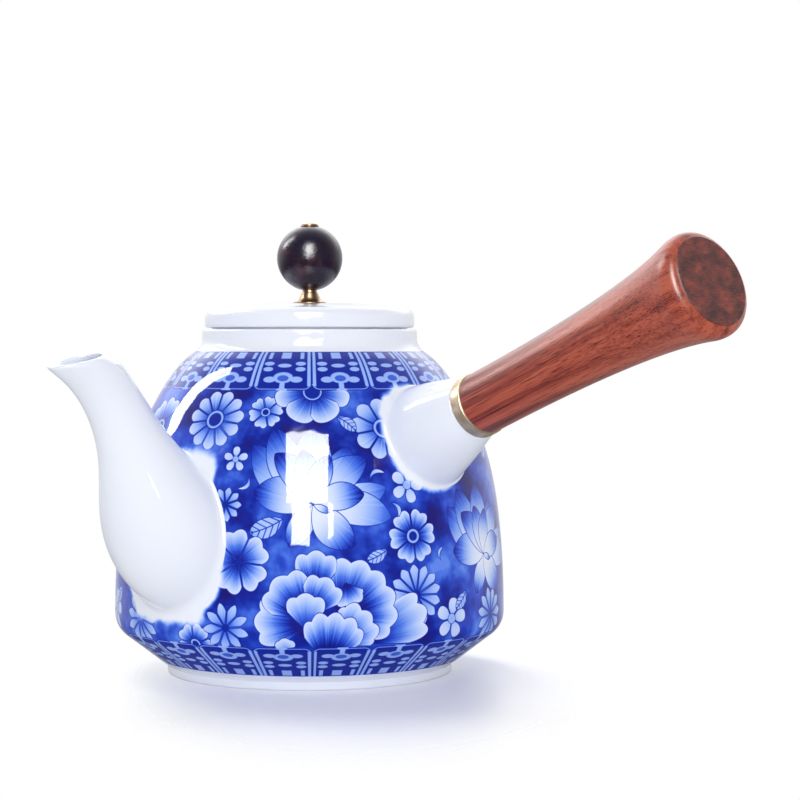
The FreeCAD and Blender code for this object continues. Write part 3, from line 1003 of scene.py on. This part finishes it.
def brass_finish(name, dull, clean, metal):
    """Turned brass, a little aged: clouds from a dull to a clean colour, and a sheen that goes with them."""
    tree, shader, made = material(name)
    age = noise(tree, 380.0, 4.0, rough=0.6)
    wire(shader, {"Base Color": ramp(age, (0.3, *dull), (0.62, *clean)), "Metallic": metal,
                  "Roughness": age * -0.2 + 0.43})
    ripple(shader, noise(tree, 900.0), 0.08, 0.0002)
    return made


brass = brass_finish("brass", (0.52, 0.38, 0.24), (0.8, 0.64, 0.44), 0.7)
ferrule.data.materials.append(brass)
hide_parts("handle_ferrule")
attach(ferrule, "pot")

# Handle: a straight grip turned from one piece of rosewood, with a slim waist, a flared end cut off flat,
# a spigot for the ferrule and a tenon glued into the socket.
tenon_radius = 4.8
tenon_length = 13.4
tenon_foot = socket_length - tenon_length
grip_start = ferrule_top
grip_length = 71.4
grip_end = grip_start + grip_length
grip_neck = np.array([7.1, grip_start])
grip_neck_edge = 0.3
grip_waist = (7.0, grip_start + 28.0)
grip_swell = np.array([11.4, grip_end - 4.9])
grip_swell_pull = 13.5
grip_edge = np.array([10.0, grip_end])
grip_edge_pull = 1.9
grip_edge_bevel = (0.3, 0.25)
grip_flare = ray(75.0)
grip_lean = ray(-22.0)
grip_middle = 0.8
bevel_low = grip_edge - (0, grip_edge_bevel[1])
bevel_high = grip_edge - (grip_edge_bevel[0], 0)
neck_in = grip_neck - (grip_neck_edge, 0)
neck_up = grip_neck + (0, grip_neck_edge)
swell_low = grip_swell - grip_swell_pull * grip_flare
swell_high = grip_swell + grip_edge_pull * grip_flare
grip_outline = np.vstack([
    [[tenon_radius, tenon_foot], [tenon_radius, socket_length], [ferrule_bore, socket_length],
     [ferrule_bore, grip_start], neck_in],
    bend(grip_neck, grip_neck_edge, -90, 0, 4),
    bezier((neck_up, grip_waist, swell_low, grip_swell), 60),
    bezier((grip_swell, swell_high, grip_edge + grip_edge_pull * grip_lean, bevel_low), 16),
    line(bevel_low, bevel_high, 2),
    line(bevel_high, (grip_middle, grip_end), 6)])
grip_grid = turn(grip_outline, 128, handle_root, handle_way)
grip_poles = (handle_root + tenon_foot * handle_way, handle_root + grip_end * handle_way)
handle = skin("wood_grip", grip_grid, grip_poles)
grain_right = np.cross(handle_way, (1, 0, 0))
grain_frame = np.stack([grain_right, np.cross(handle_way, grain_right), handle_way])
grain_points = np.vstack([grip_grid.reshape(-1, 3), *grip_poles]) - handle_root
grain = handle.data.attributes.new("grain", "FLOAT_VECTOR", "POINT")
grain.data.foreach_set("vector", (grain_points @ grain_frame.T).astype(np.float32).ravel())
tree, shader, rosewood = material("rosewood")
right, up, out = split(attribute(tree, "grain"))
bands = noise(tree, 1.0, 2.0, join(right * 0.42, up * 0.42, out * 0.007), 0.5)
fibres = noise(tree, 1.0, 3.0, join(right * 3.8, up * 3.8, out * 0.026), 0.6)
pores = noise(tree, 1.0, 1.0, join(right * 6.6, up * 6.6, out * 0.085), 0.5)
patches = noise(tree, 1.0, 3.0, join(right * 0.34, up * 0.22, 3.0), 0.55)
flecks = noise(tree, 1.0, 2.0, join(right * 3.4, up * 0.6, 0.0), 0.6)
end_face = out.smooth(grip_end - 0.3, grip_end - 0.1)
# Painted sheen: the grip's colour grows paler towards the flared far end and darker near the ferrule,
# standing in for the light that the flared end catches.
painted_sheen_out = (out - (grip_start + grip_end) / 2) * 0.0018
side_tone = bands * 0.9 + fibres * 0.62 - pores.smooth(0.55, 0.67) * 0.26 + painted_sheen_out - 0.15
wood = side_tone.mix(patches * 0.62 + flecks * 0.34 - 0.08, end_face)
wood_colour = ramp(wood, (0.3, 0.05, 0.009, 0.008), (0.42, 0.14, 0.023, 0.016), (0.54, 0.29, 0.043, 0.024),
                   (0.76, 0.46, 0.1, 0.055))
wire(shader, {"Base Color": wood_colour, "Roughness": (fibres * 0.16 + 0.24).mix(0.5, end_face), "IOR": 1.45,
              "Sheen Weight": 0.16, "Sheen Roughness": 0.4})
ripple(shader, pores * 0.6 + fibres * 0.4, 0.1, 0.0003)
handle.data.materials.append(rosewood)
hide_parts("handle")
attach(handle, "pot")

# Glue: cured epoxy that fills the gap between tenon and socket. It can't be seen once the handle is in.
# It keeps its own shape.
tree, shader, glue = material("cured_glue")
wire(shader, {"Base Color": clouded(tree, 300.0, (0.62, 0.52, 0.33), (0.78, 0.7, 0.5)), "Roughness": 0.45})
coat(glue, "handle_glue")

# Lid: a turned porcelain disc with a slightly domed top, a rounded edge, a skirt that hangs in the mouth,
# a small vent and a hole for the knob's screw. Its outer edge stands a hair clear of the seat.
lid_radius = 25.6
lid_edge_top = 88.7
lid_top = 89.9
lid_top_edge = 2.4
lid_low_edge = 0.7
lid_gap = 0.35
lid_gap_run = 1.7
lid_low = seat_height + lid_gap
lid_under = 85.8
lid_fillet = 0.8
lid_skirt = 22.1
lid_skirt_inner = 19.6
lid_skirt_low = 76.5
lid_skirt_edge = 0.6
lid_hole = 1.8
lid_flat = 4.0
vent_place = 14.0 * ray(85.0)
vent_radius = 1.0
vent_run = 7.0
vent_start = lid_under - 1.0
skirt_round = lid_skirt_low + lid_skirt_edge


def dome(run, rise):
    """Radius of a shallow dome's arc, from its run and rise, and the degrees it spreads over."""
    radius = (run ** 2 + rise ** 2) / (2 * rise)
    return radius, math.degrees(math.asin(run / radius))


dome_radius, dome_spread = dome(lid_radius - lid_top_edge - lid_flat, lid_top - lid_edge_top)
lid_outline = np.vstack([
    [[lid_hole, lid_under]],
    line((lid_hole, lid_under), (lid_skirt_inner - lid_fillet, lid_under), 4),
    bend((lid_skirt_inner, lid_under), lid_fillet, 90, 0, 4),
    line((lid_skirt_inner, lid_under - lid_fillet), (lid_skirt_inner, skirt_round), 3),
    bend((lid_skirt_inner, lid_skirt_low), lid_skirt_edge, 180, 270, 4),
    [[lid_skirt - lid_skirt_edge, lid_skirt_low]],
    bend((lid_skirt, lid_skirt_low), lid_skirt_edge, 270, 360, 4),
    line((lid_skirt, skirt_round), (lid_skirt, seat_height), 3),
    [[lid_radius - lid_gap_run, seat_height], [lid_radius - lid_gap_run, lid_low]],
    [[lid_radius - lid_low_edge, lid_low]],
    bend((lid_radius, lid_low), lid_low_edge, 270, 360, 5),
    line((lid_radius, lid_low + lid_low_edge), (lid_radius, lid_edge_top - lid_top_edge), 3),
    bend((lid_radius, lid_edge_top), lid_top_edge, 0, 88, 8),
    arc((lid_flat, lid_top - dome_radius), dome_radius, 90 - dome_spread, 90, 24),
    [[lid_hole, lid_top]]])
lid = skin("porcelain_lid", turn(lid_outline, 160), loop=True)
drill(lid, np.append(vent_place, vent_start), (0, 0, 1), vent_radius, vent_run)
lid.data.materials.clear()
lid.data.materials.append(white_porcelain)
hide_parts("lid")
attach(lid, "lid")

# Knob foot: a small turned brass trumpet on a thin flange, between the lid and the bead.
# The screw runs through it.
screw_bore = 1.6
bead_bottom = 93.1
base_radius = 4.0
base_flange = (base_radius, lid_top + 0.2)
base_low_ease = (2.55, lid_top + 0.45)
base_high_ease = (2.3, lid_top + 1.7)
base_neck_radius = 1.75
base_neck_low = bead_bottom - 0.3
base_outline = np.vstack([
    [[screw_bore, lid_top], [base_radius - 0.05, lid_top], [base_radius, lid_top + 0.06], base_flange],
    bezier((base_flange, base_low_ease, base_high_ease, (base_neck_radius, base_neck_low)), 16),
    [[base_neck_radius, bead_bottom], [screw_bore, bead_bottom]]])
knob_base = skin("brass_knob_foot", turn(base_outline, 72), loop=True)
dark_brass = brass_finish("dark_brass", (0.19, 0.11, 0.065), (0.44, 0.28, 0.17), 1.0)
knob_base.data.materials.append(dark_brass)
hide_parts("knob_base")
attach(knob_base, "knob")

# Bead: a turned ball of dark wood, flattened where foot and cap bear on it, and bored for the screw.
# It is polished, and its fibres catch the light.
bead_radius = 8.0
bead_low_flat = 1.9
bead_high_flat = 2.2
bead_centre = bead_bottom + math.sqrt(bead_radius ** 2 - bead_low_flat ** 2)
bead_low = math.degrees(math.asin((bead_bottom - bead_centre) / bead_radius))
bead_high = math.degrees(math.acos(bead_high_flat / bead_radius))
bead_top = bead_centre + bead_radius * math.sin(math.radians(bead_high))
bead_outline = np.vstack([
    [[screw_bore, bead_bottom], [bead_low_flat, bead_bottom]],
    arc((0, bead_centre), bead_radius, bead_low, bead_high, 60),
    [[screw_bore, bead_top]]])
bead = skin("wood_bead", turn(bead_outline, 96), loop=True)
tree, shader, dark_wood = material("dark_wood")
x, y, z = split(own_place(tree))
figure = noise(tree, 1.0, 3.0, join(x * 210, y * 90, z * 210), 0.5)
fibres = noise(tree, 1.0, 3.0, join(x * 1300, y * 160, z * 1300), 0.6)
bead_colour = ramp(figure * 0.8 + fibres * 0.2, (0.38, 0.012, 0.008, 0.026), (0.56, 0.016, 0.009, 0.022),
                   (0.74, 0.085, 0.014, 0.024))
wire(shader, {"Base Color": bead_colour, "Roughness": fibres * 0.14 + 0.14, "IOR": 1.48})
ripple(shader, fibres * 0.4 + noise(tree, 2600.0, 1.0) * 0.6, 0.35, 0.0002)
bead.data.materials.append(dark_wood)
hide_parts("knob_bead")
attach(bead, "knob")

# Cap and screw: a thin brass washer on the bead, and the round-headed screw that holds the knob together.
# The screw's shank runs down through bead, foot and lid to the nut.
cap_radius = 2.2
cap_top = bead_top + 0.35
cap_outline = np.array([
    [screw_bore, bead_top], [cap_radius - 0.05, bead_top], [cap_radius, bead_top + 0.08],
    [cap_radius, bead_top + 0.25], [cap_radius - 0.08, cap_top], [screw_bore, cap_top]])
knob_cap = skin("brass_cap", turn(cap_outline, 64), loop=True)
shank_radius = 1.5
shank_end = 81.0
shank_point = 0.3
head_rim = cap_top + 0.2
head_run = 1.95
head_rise = 0.4
head_tip = head_rim + head_rise
head_radius, head_spread = dome(head_run, head_rise)
screw_outline = np.vstack([
    [[shank_radius - shank_point, shank_end], [shank_radius, shank_end + shank_point],
     [shank_radius, cap_top], [head_run, cap_top], [head_run, head_rim]],
    arc((0, head_tip - head_radius), head_radius, 90 - head_spread, 90 - 0.02 * head_spread, 8)])
knob_screw = skin("brass_screw", turn(screw_outline, 64), ((0, 0, shank_end), (0, 0, head_tip)))
for piece, node in ((knob_cap, "knob_cap"), (knob_screw, "knob_screw")):
    piece.data.materials.append(dark_brass)
    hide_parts(node)
    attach(piece, "knob")

# Under the lid: a soft silicone seal against the porcelain, then a brass washer and nut on the screw.
# They keep their own shapes.
tree, shader, silicone = material("silicone")
wire(shader, {"Base Color": clouded(tree, 500.0, (0.66, 0.66, 0.64), (0.74, 0.74, 0.72)), "Roughness": 0.55})
coat(silicone, "lid_seal")
coat(brass, "lid_washer", "lid_nut")

# Table: a plain white disc that carries the pot's soft shadow. An oval of it shows, narrow across the view,
# and fades out into the white surround.
table_radius = 0.16
table_cover = 0.88
table_narrow = 2.2
table_shift = 0.01
table_fade = (0.07, 0.14)
table_mesh = bpy.data.meshes.new("table")
table_rim = np.pad(arc((0, 0), table_radius, -5, 355, 72), ((0, 0), (0, 1)))
table_mesh.from_pydata(table_rim.tolist(), [], [range(len(table_rim))])
table = add("table", table_mesh)
tree, shader, table_white = material("table_white")
wire(shader, {"Base Color": clouded(tree, 30.0, (0.9, 0.91, 0.99), (0.92, 0.93, 1.0)), "Roughness": 0.35})
x, y, _ = split(own_place(tree))
across = (x - y) * math.sqrt(0.5) * table_narrow - table_shift * table_narrow
along = (x + y) * math.sqrt(0.5)
faded = (across * across + along * along).math("SQRT").smooth(*table_fade)
wire(shader, {"Alpha": faded * -table_cover + table_cover})
table_mesh.materials.append(table_white)
table.visible_glossy = False

# Studio light: a white backdrop behind the pot and a dim room in front, a softbox behind the camera and
# another above and behind the pot, and the bright panels that mirror in the glaze. The mirrored room is
# brightest behind the pot and above the horizon, where the glaze shows it along the edges.
world = bpy.data.worlds.new("studio")
world.use_nodes = True
bpy.context.scene.world = world
tree = world.node_tree
rays = make(tree, "LightPath").outputs
camera_ray = Value(rays["Is Camera Ray"]).at_least(Value(rays["Is Transmission Ray"]))
glossy_ray = Value(rays["Is Glossy Ray"])
east, north, up = split(make(tree, "TexCoord").outputs["Generated"])
behind = (east + north) * math.sqrt(0.5)
overhead = up.at_least(0)
mirrored = (behind.smooth(-0.4, 0.7) * 0.85 + 0.12) * (up.smooth(-0.4, 0.1) * 0.85 + 0.15)
mirrored = mirrored + behind.smooth(0.3, 0.8) * up.smooth(0.14, 0.45) * 1.6
strength = (overhead * -0.62 + 0.93).mix(mirrored, glossy_ray).mix(1.0, camera_ray)
wire(tree.nodes["Background"], {"Color": (1, 1, 1, 1), "Strength": strength})
lamp_distance = 1.15
lamp_aim = (0, 0, 0.05)


def softbox(name, azimuth, elevation, width, height, power, roll=0.0):
    """Rectangular lamp at a bearing from the pot's middle, facing it, and rolled on its own axis."""
    lamp = bpy.data.lights.new(name, "AREA")
    lamp.shape = "RECTANGLE"
    lamp.size = width
    lamp.size_y = height
    lamp.energy = power
    holder = add(name, lamp)
    out, up = ray(elevation)
    holder.location = np.append(ray(azimuth) * out, up) * lamp_distance + lamp_aim
    facing = Euler((math.radians(90 - elevation), 0, math.radians(azimuth + 90))).to_matrix()
    holder.rotation_euler = (facing @ Matrix.Rotation(math.radians(roll), 3, "Z")).to_euler()
    return holder


softbox("front_softbox", view_azimuth, 28, 0.5, 1.0, 5.6).visible_glossy = False
softbox("back_softbox", 68, 52, 0.4, 0.6, 8.5).visible_glossy = False
softbox("front_panel", 223, 32, 0.5, 0.73, 26.0).visible_diffuse = False
softbox("front_panel_left", 219.5, 9.5, 0.21, 0.21, 3.2).visible_diffuse = False
softbox("front_panel_right", 237, 9.8, 0.054, 0.15, 0.6).visible_diffuse = False
softbox("left_panel", 112, 38, 0.17, 0.64, 5.4, -16).visible_diffuse = False

# Camera: level with the lid's seat and a little over half a metre away, as the photographer stood.
# It is turned a little aside and down, so that the pot stands left of the middle.
camera_distance = 0.555
camera_height = 0.081
camera_tilt = 88.47
camera_turn = -47.28
camera_data = bpy.data.cameras.new("camera")
camera_data.sensor_width = 36.0
camera_data.lens = 101.88
camera = add("camera", camera_data)
camera.location = np.append(camera_distance * ray(view_azimuth), camera_height)
camera.rotation_euler = (math.radians(camera_tilt), 0, math.radians(camera_turn))
bpy.context.scene.camera = camera
bpy.context.scene.view_settings.view_transform = "Standard"
